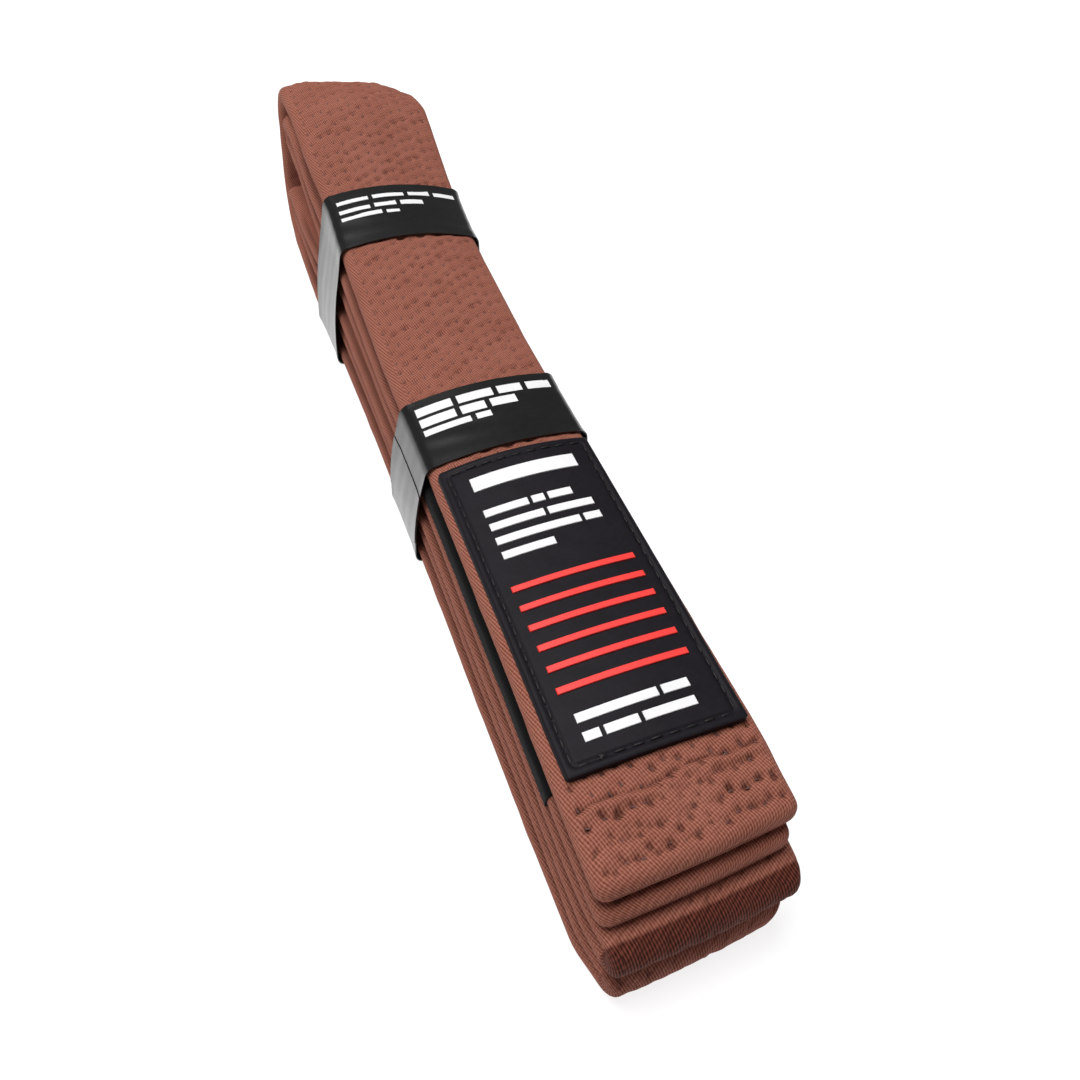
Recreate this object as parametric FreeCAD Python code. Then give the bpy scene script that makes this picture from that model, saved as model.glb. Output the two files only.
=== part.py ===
import FreeCAD, Part
import math
import os
from FreeCAD import Vector

# A jiu-jitsu belt folded into a flat bundle of six legs and held by two paper bands.
# X runs across the belt's width, Y along the bundle (the two loose ends are at -Y, the
# looped end at +Y) and Z up. The origin is the bottom centre of the bundle. Millimetres.

# The belt strip
BELT_WIDTH = 40.0
BELT_THICKNESS = 4.4
COVER_THICKNESS = 0.8
CORE_PLIES = 3
PLY_GAP = 0.05
CORE_SIDE_GAP = 0.1

# The bundle
BUNDLE_LENGTH = 256.0
GROUND_GAP = 0.55            # the bottom leg hangs this far above the floor, on the bands
FRONT_PITCH = 5.1            # from leg to leg in the front half, where the bundle is flat
BAND_PITCH = 6.6             # just behind the rear band, where the legs have spread
REAR_PITCH = 6.4             # at the looped end, within the upper and the lower three legs
SLOT_PITCH = 14.4            # at the looped end, across the slot between those threes
BEND_Y = 3.0                 # behind the front band the legs begin to spread
BEND_RADIUS = 90.0
BAND_BEND_Y = 79.0           # behind the rear band the slot opens
REAR_BEND_Y = 105.0          # where the legs level out into the loops
LOOP_BEND_RADIUS = 40.0
OUTER_LOOP_CORNER = 15.0
INNER_LOOP_Y = 118.0         # centre line of the two inner loops at the looped end
UPPER_FOLD_SWELL = 0.45      # the upper front fold is this much fuller, above and below
LOWER_FOLD_SETBACK = 1.6

# The two loose ends, in front of the front band
HINGE_Y = -24.2
HINGE_GAP = 0.4
PATCH_TIP_Y = -119.0
BAR_TIP_Y = -121.5
HEM_LENGTH = 14.0

# Stitching
QUILT_ROWS = 8
QUILT_MARGIN = 3.2
THREAD_WIDTH = 0.6
THREAD_DEPTH = 0.3
THREAD_PROUD = 0.08
HEM_ROWS = 3

# The rubber patch on the top end
PATCH_WIDTH = 35.0
PATCH_LENGTH = 75.0
PATCH_FAR_Y = -26.3
PATCH_THICKNESS = 1.4
PATCH_CORNER = 1.2
PATCH_GROOVE_INSET = 2.6
PATCH_STITCH_WIDTH = 0.7
PATCH_STITCH_DEPTH = 0.5
STRIPE_COUNT = 6
STRIPE_WIDTH = 26.4
STRIPE_LENGTH = 1.4
STRIPE_PITCH = 4.78
STRIPE_FIRST_Y = -60.6
STRIPE_PROUD = 0.35
MARK_PROUD = 0.25
SKIN_SINK = 0.3              # raised marks are moulded this deep into the rubber

# The rank bar, a black sleeve on the second end
BAR_FAR_Y = -24.9
BAR_NEAR_Y = -100.0
BAR_THICKNESS = 0.25
BAR_EDGE_STITCH = 0.5

# The paper bands
PAPER = 0.3
BAND_WIDTH = 21.0
BAND_SIDE_GAP = 0.8
FRONT_BAND_Y = -12.9
REAR_BAND_Y = 64.0
FRONT_BAND_TOP_GAP = 1.35    # the front band slides up the spreading legs
REAR_BAND_TOP_GAP = 0.4
BAND_CORNER = 1.2
TAB_LENGTH = 16.0
TAB_BOTTOM_Z = 7.0
GLUE = 0.1
PRINT_THICKNESS = 0.05

HALF_WIDTH = BELT_WIDTH / 2
HALF_THICK = BELT_THICKNESS / 2
FRONT_Y = -BUNDLE_LENGTH / 2
REAR_Y = BUNDLE_LENGTH / 2
LEGS = 6

# Centre heights of the legs, bottom leg first, in the front half, behind the rear band
# and at the looped end
front_z = [GROUND_GAP + HALF_THICK + FRONT_PITCH * leg for leg in range(LEGS)]
band_z = [GROUND_GAP + HALF_THICK + BAND_PITCH * leg for leg in range(LEGS)]
rear_z = [GROUND_GAP + HALF_THICK + REAR_PITCH * leg for leg in range(LEGS)]
for upper_leg in range(LEGS // 2, LEGS):
    rear_z[upper_leg] += SLOT_PITCH - REAR_PITCH
BAR_LEG = 4
PATCH_LEG = 5
SPREAD_SLOPE = (band_z[PATCH_LEG] - front_z[PATCH_LEG]) / (BAND_BEND_Y - BEND_Y)


def unit(a, b):
    """Unit vector from point a to point b in the (y, z) plane."""
    length = math.hypot(b[0] - a[0], b[1] - a[1])
    return ((b[0] - a[0]) / length, (b[1] - a[1]) / length)


def spatial(point):
    return Vector(0, point[0], point[1])


def offset_edges(route, offset):
    """Edges of a filleted route of (y, z, radius), moved to its left by offset."""
    edges = []
    last = None
    for i in range(1, len(route)):
        heading = unit(route[i - 1], route[i])
        normal = (-heading[1], heading[0])
        if last is None:
            last = (route[0][0] + normal[0] * offset, route[0][1] + normal[1] * offset)
        corner = route[i]
        if i == len(route) - 1:
            end = (corner[0] + normal[0] * offset, corner[1] + normal[1] * offset)
            edges.append(Part.LineSegment(spatial(last), spatial(end)).toShape())
            break
        leaving = unit(route[i], route[i + 1])
        turn = math.atan2(heading[0] * leaving[1] - heading[1] * leaving[0],
                          heading[0] * leaving[0] + heading[1] * leaving[1])
        side = 1 if turn > 0 else -1
        reach = corner[2] * math.tan(abs(turn) / 2)
        start = (corner[0] - heading[0] * reach, corner[1] - heading[1] * reach)
        centre = (start[0] + normal[0] * side * corner[2], start[1] + normal[1] * side * corner[2])
        radius = corner[2] - side * offset
        arc_points = []
        for share in (0, 0.5, 1):
            angle = math.atan2(start[1] - centre[1], start[0] - centre[0]) + turn * share
            arc_points.append((centre[0] + radius * math.cos(angle),
                               centre[1] + radius * math.sin(angle)))
        if math.hypot(arc_points[0][0] - last[0], arc_points[0][1] - last[1]) > 1e-6:
            edges.append(Part.LineSegment(spatial(last), spatial(arc_points[0])).toShape())
        edges.append(Part.Arc(*[spatial(p) for p in arc_points]).toShape())
        last = arc_points[2]
    return edges


def ribbon(route, low, high, width, x=0.0):
    """A strip that follows the route, from offset low to offset high, width wide about x."""
    lower = offset_edges(route, low)
    upper = offset_edges(route, high)
    caps = [Part.LineSegment(lower[-1].lastVertex(True).Point, upper[-1].lastVertex(True).Point),
            Part.LineSegment(upper[0].firstVertex(True).Point, lower[0].firstVertex(True).Point)]
    outline = Part.Wire(Part.__sortEdges__(lower + upper + [cap.toShape() for cap in caps]))
    strip = Part.Face(outline).extrude(Vector(width, 0, 0))
    strip.translate(Vector(x - width / 2, 0, 0))
    return strip


def box(x, y, z):
    """A box from three (low, high) pairs."""
    return Part.makeBox(x[1] - x[0], y[1] - y[0], z[1] - z[0], Vector(x[0], y[0], z[0]))


def group(solids):
    return Part.makeCompound(solids)


def bundle_route():
    """Centre line of the folded strip, from the patch leg's hinge to the bar leg's hinge."""
    fold_low = GROUND_GAP + HALF_THICK
    rear_centre = REAR_Y - HALF_THICK
    lower_nose = FRONT_Y + HALF_THICK + LOWER_FOLD_SETBACK
    upper_nose = FRONT_Y + HALF_THICK

    def spread(leg, rearwards):
        bends = [(BEND_Y, front_z[leg], BEND_RADIUS), (BAND_BEND_Y, band_z[leg], LOOP_BEND_RADIUS),
                 (REAR_BEND_Y, rear_z[leg], LOOP_BEND_RADIUS)]
        return bends if rearwards else bends[::-1]

    def turn(y, z_in, z_out, radius):
        return [(y, z_in, radius), (y, z_out, radius)]

    tight = 0.475         # share of a fold's height that its two corner arcs take up
    start_y = HINGE_Y + HINGE_GAP / 2
    route = [(start_y, front_z[5], 0)]
    route += spread(5, True)
    route += turn(rear_centre, rear_z[5], rear_z[0], OUTER_LOOP_CORNER)
    route += turn(lower_nose, fold_low, front_z[1], FRONT_PITCH * tight)
    route += spread(1, True)
    route += turn(INNER_LOOP_Y, rear_z[1], rear_z[2], REAR_PITCH * tight)
    route += spread(2, False)
    swell_y = FRONT_Y + 22.0
    fold_height = FRONT_PITCH + 2 * UPPER_FOLD_SWELL
    route += [(swell_y, front_z[2], 60.0)]
    route += turn(upper_nose, front_z[2] - UPPER_FOLD_SWELL, front_z[3] + UPPER_FOLD_SWELL,
                  fold_height * tight)
    route += [(swell_y, front_z[3], 60.0)]
    route += spread(3, True)
    route += turn(INNER_LOOP_Y, rear_z[3], rear_z[4], REAR_PITCH * tight)
    route += spread(4, False)
    route += [(start_y, front_z[4], 0)]
    return route


def end_route(leg, tip_y):
    """Centre line of a loose end, from its hinge to its tip."""
    return [(HINGE_Y - HINGE_GAP / 2, front_z[leg], 0), (tip_y, front_z[leg], 0)]


def quilting(route, side):
    """Lengthwise rows of thread that hold the cover to the core, on one face of the strip."""
    first = -HALF_WIDTH + QUILT_MARGIN
    pitch = (BELT_WIDTH - 2 * QUILT_MARGIN) / (QUILT_ROWS - 1)
    inner = side * (HALF_THICK - THREAD_DEPTH)
    outer = side * (HALF_THICK + THREAD_PROUD)
    low, high = min(inner, outer), max(inner, outer)
    return [ribbon(route, low, high, THREAD_WIDTH, first + pitch * row) for row in range(QUILT_ROWS)]


def cover_and_core(route, closed_tip):
    """The woven cover, hollow, and the plies that fill it. A closed tip covers the last end."""
    hollow = HALF_THICK - COVER_THICKNESS
    inner_width = BELT_WIDTH - 2 * COVER_THICKNESS
    core_route = list(route)
    if closed_tip:
        tip_y, tip_z, radius = route[-1]
        core_route[-1] = (tip_y + COVER_THICKNESS, tip_z, radius)
    cover = ribbon(route, -HALF_THICK, HALF_THICK, BELT_WIDTH)
    cover = cover.cut(ribbon(core_route, -hollow, hollow, inner_width))
    ply = (2 * hollow - PLY_GAP * (CORE_PLIES + 1)) / CORE_PLIES
    plies = []
    for number in range(CORE_PLIES):
        low = -hollow + PLY_GAP + (ply + PLY_GAP) * number
        plies.append(ribbon(core_route, low, low + ply, inner_width - 2 * CORE_SIDE_GAP))
    return cover, plies


def hem_stitching(leg, tip_y):
    """Rows of thread across a loose end that close its folded hem."""
    top = front_z[leg] + HALF_THICK
    half = HALF_WIDTH - QUILT_MARGIN
    rows = []
    for row in range(HEM_ROWS):
        y = tip_y + 4.0 + (HEM_LENGTH - 4.0) * row / (HEM_ROWS - 1)
        rows.append(box((-half, half), (y - THREAD_WIDTH / 2, y + THREAD_WIDTH / 2),
                        (top - THREAD_DEPTH, top + THREAD_PROUD)))
    return rows


def strip_nodes(prefix, route, quilt_side, closed_tip, hem=None):
    """Cover, core plies and thread of one stretch of the belt."""
    cover, plies = cover_and_core(route, closed_tip)
    rows = quilting(route, quilt_side)
    nodes = {}
    if hem:
        short = [(route[0][0], route[0][1], 0), (hem[1] + HEM_LENGTH + 1.0, route[1][1], 0)]
        rows = quilting(short, quilt_side)
        hem_rows = hem_stitching(*hem)
        cover = cover.cut(group(hem_rows))
        nodes[prefix + "_hem_stitching"] = group(hem_rows)
    cover = cover.cut(group(rows))
    nodes[prefix + "_cover"] = cover
    nodes[prefix + "_quilting_thread"] = group(rows)
    for number, ply in enumerate(plies, 1):
        nodes["%s_core_ply_%d" % (prefix, number)] = ply
    return nodes


def plate(width, near_y, far_y, low, high, corner):
    """A flat plate with rounded corners seen from above."""
    slab = box((-width / 2, width / 2), (near_y, far_y), (low, high))
    upright = [e for e in slab.Edges if abs(e.tangentAt(e.FirstParameter).z) > 0.9]
    return slab.makeFillet(corner, upright)


def patch_nodes():
    """The moulded rubber patch, its raised stripes and marks, and the thread that sews it on."""
    base_low = front_z[PATCH_LEG] + HALF_THICK + THREAD_PROUD + 0.02
    base_high = base_low + PATCH_THICKNESS
    near_y = PATCH_FAR_Y - PATCH_LENGTH
    base = plate(PATCH_WIDTH, near_y, PATCH_FAR_Y, base_low, base_high, PATCH_CORNER)

    inset = PATCH_GROOVE_INSET
    outer = plate(PATCH_WIDTH - 2 * inset, near_y + inset, PATCH_FAR_Y - inset,
                  base_high - PATCH_STITCH_DEPTH, base_high, 0.9)
    inset += PATCH_STITCH_WIDTH
    inner = plate(PATCH_WIDTH - 2 * inset, near_y + inset, PATCH_FAR_Y - inset,
                  base_high - PATCH_STITCH_DEPTH, base_high, 0.3)
    thread = outer.cut(inner)

    sunk = base_high - SKIN_SINK
    stripes = []
    for number in range(STRIPE_COUNT):
        far_y = STRIPE_FIRST_Y - STRIPE_PITCH * number
        stripes.append(box((-STRIPE_WIDTH / 2, STRIPE_WIDTH / 2), (far_y - STRIPE_LENGTH, far_y),
                           (sunk, base_high + STRIPE_PROUD)))

    marks = []
    for length, centre, y in ((24.0, 0.0, -33.4), (20.0, -2.0, -41.4), (24.0, 0.0, -45.2),
                              (24.0, 0.0, -49.0), (12.0, -6.0, -52.8), (20.0, -2.0, -91.4),
                              (22.0, -1.0, -95.2)):
        depth = 4.0 if y > -40 else 1.9
        marks.append(box((centre - length / 2, centre + length / 2), (y - depth / 2, y + depth / 2),
                         (sunk, base_high + MARK_PROUD)))

    base = base.cut(group([thread] + stripes + marks))
    return {"patch_base": base, "patch_edge_stitching": thread,
            "patch_red_stripes": group(stripes), "patch_white_marks": group(marks)}


def rank_bar_nodes():
    """The black sleeve round the second end and the stitched rows along its two edges."""
    centre_z = front_z[BAR_LEG]
    inner_half = HALF_THICK + THREAD_PROUD + 0.02
    outer_half = inner_half + BAR_THICKNESS
    side_gap = 0.05
    outside = box((-HALF_WIDTH - side_gap - BAR_THICKNESS, HALF_WIDTH + side_gap + BAR_THICKNESS),
                  (BAR_NEAR_Y, BAR_FAR_Y), (centre_z - outer_half, centre_z + outer_half))
    inside = box((-HALF_WIDTH - side_gap, HALF_WIDTH + side_gap),
                 (BAR_NEAR_Y, BAR_FAR_Y), (centre_z - inner_half, centre_z + inner_half))
    sleeve = outside.cut(inside)
    threads = []
    for y in (BAR_NEAR_Y + 1.5, BAR_FAR_Y - 2.0):
        threads.append(box((-HALF_WIDTH + 1.0, HALF_WIDTH - 1.0), (y, y + BAR_EDGE_STITCH),
                           (centre_z + inner_half, centre_z + outer_half)))
    sleeve = sleeve.cut(group(threads))
    return {"rank_bar_sleeve": sleeve, "rank_bar_stitching": group(threads)}


def top_height(y):
    """Height of the bundle's top face at y, behind the bend."""
    rise = max(0.0, y - BEND_Y) * SPREAD_SLOPE
    return front_z[PATCH_LEG] + HALF_THICK + rise


def band_block(centre_y, half_width, low, top_gap):
    """A block that fits round the bundle, its top face parallel to the legs below it."""
    near_y = centre_y - BAND_WIDTH / 2
    far_y = centre_y + BAND_WIDTH / 2
    side = [(near_y, low), (far_y, low), (far_y, top_height(far_y) + top_gap),
            (near_y, top_height(near_y) + top_gap)]
    outline = Part.makePolygon([Vector(-half_width, y, z) for y, z in side + side[:1]])
    block = Part.Face(outline).extrude(Vector(2 * half_width, 0, 0))
    lengthwise = [e for e in block.Edges if abs(e.tangentAt(e.FirstParameter).y) > 0.9]
    return block, lengthwise


def band_nodes(prefix, centre_y, top_gap, tab_side):
    """A paper band: the closed loop, its glued tab on one side, the glue and the print."""
    inner_half = HALF_WIDTH + BAND_SIDE_GAP
    outer_half = inner_half + PAPER
    outer, outer_edges = band_block(centre_y, outer_half, 0.0, top_gap + PAPER)
    inner, inner_edges = band_block(centre_y, inner_half, PAPER, top_gap)
    loop = outer.makeFillet(BAND_CORNER, outer_edges)
    loop = loop.cut(inner.makeFillet(BAND_CORNER - PAPER, inner_edges))

    span = (centre_y - BAND_WIDTH / 2, centre_y + BAND_WIDTH / 2)
    tab_z = (TAB_BOTTOM_Z, TAB_BOTTOM_Z + TAB_LENGTH)
    glue_x = sorted((tab_side * outer_half, tab_side * (outer_half + GLUE)))
    tab_x = sorted((tab_side * (outer_half + GLUE), tab_side * (outer_half + GLUE + PAPER)))
    glue = box(glue_x, (span[0] + 1.0, span[1] - 1.0), (tab_z[0] + 1.0, tab_z[1] - 1.0))
    tab = box(tab_x, span, tab_z)

    marks = []
    slope = SPREAD_SLOPE if centre_y > BEND_Y else 0.0
    tilt = math.degrees(math.atan(slope))
    for length, centre_x, step in ((38.0, 0.0, 4.6), (29.0, -4.5, 0.8), (20.0, -9.0, -3.0)):
        y = centre_y + step
        top = top_height(y) + top_gap + PAPER
        mark = box((centre_x - length / 2, centre_x + length / 2), (y - 1.25, y + 1.25),
                   (top, top + PRINT_THICKNESS))
        mark.rotate(Vector(centre_x, y, top), Vector(1, 0, 0), tilt)
        mark.translate(Vector(0, 0, 0.005))
        marks.append(mark)
    return {prefix + "_paper": loop, prefix + "_tab": tab, prefix + "_glue": glue,
            prefix + "_print": group(marks)}


def main():
    nodes = {}
    nodes.update(strip_nodes("belt", bundle_route(), 1, False))
    nodes.update(strip_nodes("patch_end", end_route(PATCH_LEG, PATCH_TIP_Y), -1, True,
                             (PATCH_LEG, PATCH_TIP_Y)))
    nodes.update(strip_nodes("bar_end", end_route(BAR_LEG, BAR_TIP_Y), -1, True,
                             (BAR_LEG, BAR_TIP_Y)))
    nodes.update(patch_nodes())
    nodes.update(rank_bar_nodes())
    nodes.update(band_nodes("front_band", FRONT_BAND_Y, FRONT_BAND_TOP_GAP, -1))
    nodes.update(band_nodes("rear_band", REAR_BAND_Y, REAR_BAND_TOP_GAP, 1))

    os.makedirs("parts", exist_ok=True)
    for name, shape in nodes.items():
        if not shape.isValid():
            raise ValueError("%s is not a valid shape" % name)
        shape.exportStep("parts/%s.step" % name)
        limits = shape.BoundBox
        print("%-28s %2d solids %9.1f mm3  y %7.1f %7.1f  z %6.2f %6.2f" % (
            name, len(shape.Solids), shape.Volume, limits.YMin, limits.YMax, limits.ZMin, limits.ZMax))


main()
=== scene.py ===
import math

import bpy
import numpy as np
from mathutils import Matrix, Vector


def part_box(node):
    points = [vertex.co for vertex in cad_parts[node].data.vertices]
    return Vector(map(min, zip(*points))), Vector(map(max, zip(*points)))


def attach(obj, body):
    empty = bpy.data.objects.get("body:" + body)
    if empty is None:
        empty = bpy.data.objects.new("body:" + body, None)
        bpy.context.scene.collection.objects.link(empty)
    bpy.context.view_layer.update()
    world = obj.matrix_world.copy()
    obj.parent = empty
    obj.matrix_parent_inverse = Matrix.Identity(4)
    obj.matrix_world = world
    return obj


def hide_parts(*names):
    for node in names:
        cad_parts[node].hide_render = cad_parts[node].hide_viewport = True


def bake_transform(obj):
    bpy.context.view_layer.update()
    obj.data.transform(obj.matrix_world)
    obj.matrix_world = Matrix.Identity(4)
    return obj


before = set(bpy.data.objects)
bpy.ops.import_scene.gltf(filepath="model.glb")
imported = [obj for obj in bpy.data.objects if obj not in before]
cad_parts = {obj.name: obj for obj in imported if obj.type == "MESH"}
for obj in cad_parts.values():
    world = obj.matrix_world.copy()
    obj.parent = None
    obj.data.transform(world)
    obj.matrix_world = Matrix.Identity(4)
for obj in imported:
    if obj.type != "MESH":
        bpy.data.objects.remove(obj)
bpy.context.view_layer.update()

# Everything below is worked out in millimetres; meshes are in metres.
MM = 0.001
rng = np.random.default_rng(11)


def limits(node):
    """Lowest and highest corner of a CAD node, in millimetres."""
    low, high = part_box(node)
    return np.array(low) / MM, np.array(high) / MM


# ------------ sizes from the frame
cover_low, cover_high = limits("belt_cover")
patch_end_low, patch_end_high = limits("patch_end_cover")
bar_end_low = limits("bar_end_cover")[0]
patch_low, patch_high = limits("patch_base")
sleeve_low = limits("rank_bar_sleeve")[0]

BELT_WIDTH = patch_end_high[0] - patch_end_low[0]
BELT_THICKNESS = patch_end_high[2] - patch_end_low[2]
HALF_WIDTH = BELT_WIDTH / 2
HALF_THICK = BELT_THICKNESS / 2
GROUND = cover_low[2]
FRONT_Y = cover_low[1]
REAR_Y = cover_high[1]
LEGS = 6                     # counted from 0 at the bottom
BAR_LEG = 4
PATCH_LEG = 5

# ------------ the folded route
FRONT_PITCH = (patch_end_low[2] - GROUND) / PATCH_LEG
BAND_PITCH = 6.6
REAR_PITCH = 6.4
SLOT_PITCH = 14.4
FLAT_END_Y = 16.0            # the legs start to spread here, clear of the front band's travel
BAND_BEND_Y = 79.0
REAR_BEND_Y = 105.0
UPPER_LOOP_CORNER = 9.0
LOWER_LOOP_CORNER = 15.0
INNER_LOOP_Y = 118.0
UPPER_FOLD_SWELL = 0.5
LOWER_FOLD_SETBACK = -0.6
SEAM_Y = -5.0                # the loose ends start here, always under the front band

front_z = [GROUND + HALF_THICK + FRONT_PITCH * leg for leg in range(LEGS)]
band_z = [GROUND + HALF_THICK + BAND_PITCH * leg for leg in range(LEGS)]
rear_z = [GROUND + HALF_THICK + REAR_PITCH * leg for leg in range(LEGS)]
for upper_leg in range(LEGS // 2, LEGS):
    rear_z[upper_leg] += SLOT_PITCH - REAR_PITCH

# The legs don't lie exactly over each other
leg_shift = [-0.35, 0.35, -0.4, 0.4, -0.3, 0.0]

# ------------ quilting
ROW_COUNT = 13
ROW_MARGIN = 2.5
ROW_PITCH = (BELT_WIDTH - 2 * ROW_MARGIN) / (ROW_COUNT - 1)
STITCH_PITCH = 3.6
PIT_DEPTH = 0.36
PIT_LENGTH = 0.62
PIT_WIDTH = 0.46             # near the tips, where the cloth is flat and tight
SOFT_PIT_WIDTH = 1.35        # elsewhere, where it is puckered
PUCKER = 0.12
TIGHT_Y = -95.0              # the cloth is tight in front of this
TIGHT_PULL = 0.5             # stitches sink this much deeper there
SLACK_PIT_SHADE = 0.12            # elsewhere their holes show only this share of their painted shade

HEM_ROWS = (3.6, 7.2, 11.0)  # rows across a loose end, measured from its tip
HEM_PITCH = 2.7
HEM_FOLD = 13.6              # the cloth is double from here to the tip
HEM_STEP = 0.50              # and stands this much higher
HEM_STITCHES = 15            # in each row
EDGE_RADIUS = 1.85
TIP_RADIUS = 2.0
TIP_CORNER = 2.2

SHARP_ANGLE = 62.0           # degrees; an edge that turns further is shaded as sharp

UV = "strip"
STRETCH_AND_SHADE = "stretch_and_shade"          # 1 where a tight fold opens the weave, and painted shade on the folds' front faces
PAINTED_SHADE = "painted_shade"            # painted shade: 1 in stitch holes, creases and where one leg presses on the next


def ripple(a, b, seed):
    """Smooth wandering in about -1 to 1, from a few sines with fixed phases."""
    total = 0
    for k in range(1, 5):
        phase = seed * 1.7 + k * 2.3
        total = total + np.sin(a * 0.21 * k + b * 0.33 * (5 - k) + phase) / (1 + 0.4 * k)
    return total / 2.2


# ------------ how the bundle settles
# Each row is a place along the bundle, in y, and the value there.
TOP_HEIGHTS = ((FLAT_END_Y, 30.45), (BAND_BEND_Y, 38.0), (REAR_BEND_Y, 45.0))
TOP_HALF_WIDTHS = ((-112, 19.5), (-100, 19.4), (-80, 18.9), (-60, 18.6), (-35, 18.1), (-22, 17.9),
                   (60, 17.9), (76, 18.0), (92, 19.2), (110, 19.6))
TOP_SHIFTS = ((-118, -0.4), (-70, 0.0), (52, 0.0), (76, 1.1), (92, 0.8), (130, 0.8))
LEANS = ((-60, -1.4), (-45, -1.2), (20, -1.2), (40, -1.6), (64, -2.1), (82, -2.8), (100, -2.6),
         (124, -2.0))
TILTS = ((20, -0.025), (44, 0.03), (64, 0.085), (90, 0.08), (125, 0.06))
CROWNS = ((-122, 0.6), (-100, 1.0), (-50, 1.1), (-30, 2.0), (20, 2.0), (64, 2.6), (90, 2.2),
          (112, 1.0), (128, 0.3))
RIGHT_INSETS = ((0.0, 2.6), (5.0, 2.2), (9.0, 0.9), (19.0, 0.7), (21.5, 1.9), (24.5, 1.9),
                (27.0, 0.9), (30.0, 0.7))    # (height, how far the front right corners stand in)
LOOP_RISE = 2.6              # the looped end stands this much higher at its top
LOOP_REACH = 2.4             # and leans back this far
LOOP_SKEW = 0.14             # more on the left than on the right


def along_bundle(rows, y):
    """A value from a table of (y, value) rows, eased between them."""
    places, values = np.array(rows, float).T
    return sum(np.interp(y + offset, places, values) for offset in (0, -6, -3, 3, 6)) / 5


def ease(value):
    """0 to 1, starting and ending gently."""
    held = np.clip(value, 0, 1)
    return held * held * (3 - 2 * held)


def tightness(y):
    """1 near the tips, where the cloth is flat and tight, and 0 elsewhere."""
    return ease((TIGHT_Y - y) / 6)


def settle(points):
    """Moves points of the straight bundle to where the squeezed, leaning one has them."""
    x, y, z = np.asarray(points, float).T
    # share is 0 on the ground and 1 on the top leg; the others are 1 at one end of the bundle
    share = np.clip(z / along_bundle(TOP_HEIGHTS, y), 0, 1.08)
    front = ease((-100 - y) / 22)
    nose = ease((-116 - y) / 12)
    loop = ease((y - 88) / 36)
    end = ease((y - 106) / 16)
    # Squeezed narrower towards the top and pinched at the folds, leaning to the left
    half = HALF_WIDTH - (HALF_WIDTH - along_bundle(TOP_HALF_WIDTHS, y)) * share ** 2
    pinch = nose * (0.05 + 0.06 * ease((10.5 - z) / 5))
    lean = along_bundle(LEANS, y) * (1 - np.minimum(share, 1)) + along_bundle(TOP_SHIFTS, y) * share
    inset = front * np.interp(z, *np.array(RIGHT_INSETS).T) * ease((x + 4) / 22)
    new_x = x * half / HALF_WIDTH * (1 - pinch) + lean - inset
    # The looped end leans back; the front is cut back on the right and juts out on the left
    right = np.clip((x + HALF_WIDTH) / BELT_WIDTH, 0, 1)
    new_y = y + loop * (LOOP_REACH - LOOP_SKEW * x) * (0.4 + 0.6 * share)
    new_y = new_y + front * (2.0 * right ** 2 - 1.4)
    # The top is crowned, tilted, raised at the looped end and drooping at its corners
    crown = along_bundle(CROWNS, y) * np.clip(1 - (x / HALF_WIDTH) ** 2, 0, 1) * share ** 3
    droop = end * share * (3.2 * ease((x - 3) / 17) ** 2 + 1.4 * ease((-x - 11) / 9))
    new_z = z + share * (loop * LOOP_RISE - x * along_bundle(TILTS, y)) + crown - droop
    return np.stack([new_x, new_y, new_z], -1)


# ------------ meshes
def add_object(name, data):
    obj = bpy.data.objects.new(name, data)
    bpy.context.scene.collection.objects.link(obj)
    return obj


def make_object(name, points, faces, uvs=None, smooth=True):
    """A mesh object from points of the straight bundle in millimetres, settled in place.

    uvs holds one pair per face corner."""
    mesh = bpy.data.meshes.new(name)
    mesh.from_pydata([tuple(p) for p in settle(points) * MM], [], faces)
    if uvs is not None:
        layer = mesh.uv_layers.new(name=UV)
        layer.data.foreach_set("uv", np.asarray(uvs, float).ravel())
    mesh.polygons.foreach_set("use_smooth", [smooth] * len(mesh.polygons))
    mesh.validate()
    if smooth:
        mesh.set_sharp_from_angle(angle=math.radians(SHARP_ANGLE))
    return add_object(name, mesh)


def grid_quads(rows, columns, closed):
    """Quads between the points of a grid; closed joins its last column to its first."""
    quads = []
    for row in range(rows - 1):
        for column in range(columns if closed else columns - 1):
            here = row * columns + column
            beside = row * columns + (column + 1) % columns
            quads.append((here, beside, beside + columns, here + columns))
    return quads


def ring_faces(rings, count):
    """Faces of a solid made of closed rings of count points, with a cap at each end."""
    first = tuple(range(count - 1, -1, -1))
    last = tuple(range((rings - 1) * count, rings * count))
    return grid_quads(rings, count, True) + [first, last]


def shell_faces(rows, columns, closed=False):
    """Faces of a thin shell: a grid of points, a second grid behind it, and the rims between."""
    total = rows * columns
    faces = []
    for quad in grid_quads(rows, columns, closed):
        faces += [quad, tuple(i + total for i in reversed(quad))]
    near = list(range(columns))
    far = list(range(total - 1, total - columns - 1, -1))
    right = [row * columns + columns - 1 for row in range(1, rows - 1)]
    left = [row * columns for row in range(rows - 2, 0, -1)]
    for rim in [near, far] if closed else [near + right + far + left]:
        for here, after in zip(rim, rim[1:] + rim[:1]):
            faces.append((after, here, here + total, after + total))
    return faces


def ring_uvs(lengths, around, perimeter):
    """UV pairs in millimetres for ring_faces: length along the strip, way round it."""
    sides = np.append(around, perimeter)
    uvs = []
    for near, far in zip(lengths[:-1], lengths[1:]):
        for start, stop in zip(sides[:-1], sides[1:]):
            uvs += [(near, start), (near, stop), (far, stop), (far, start)]
    uvs += [(lengths[0], place) for place in around[::-1]]
    uvs += [(lengths[-1], place) for place in around]
    return uvs


# ------------ centre lines
def unit(vector):
    return vector / np.linalg.norm(vector)


def gaps(points):
    """Distances from each point to the next."""
    return np.linalg.norm(np.diff(points, axis=0), axis=1)


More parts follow.
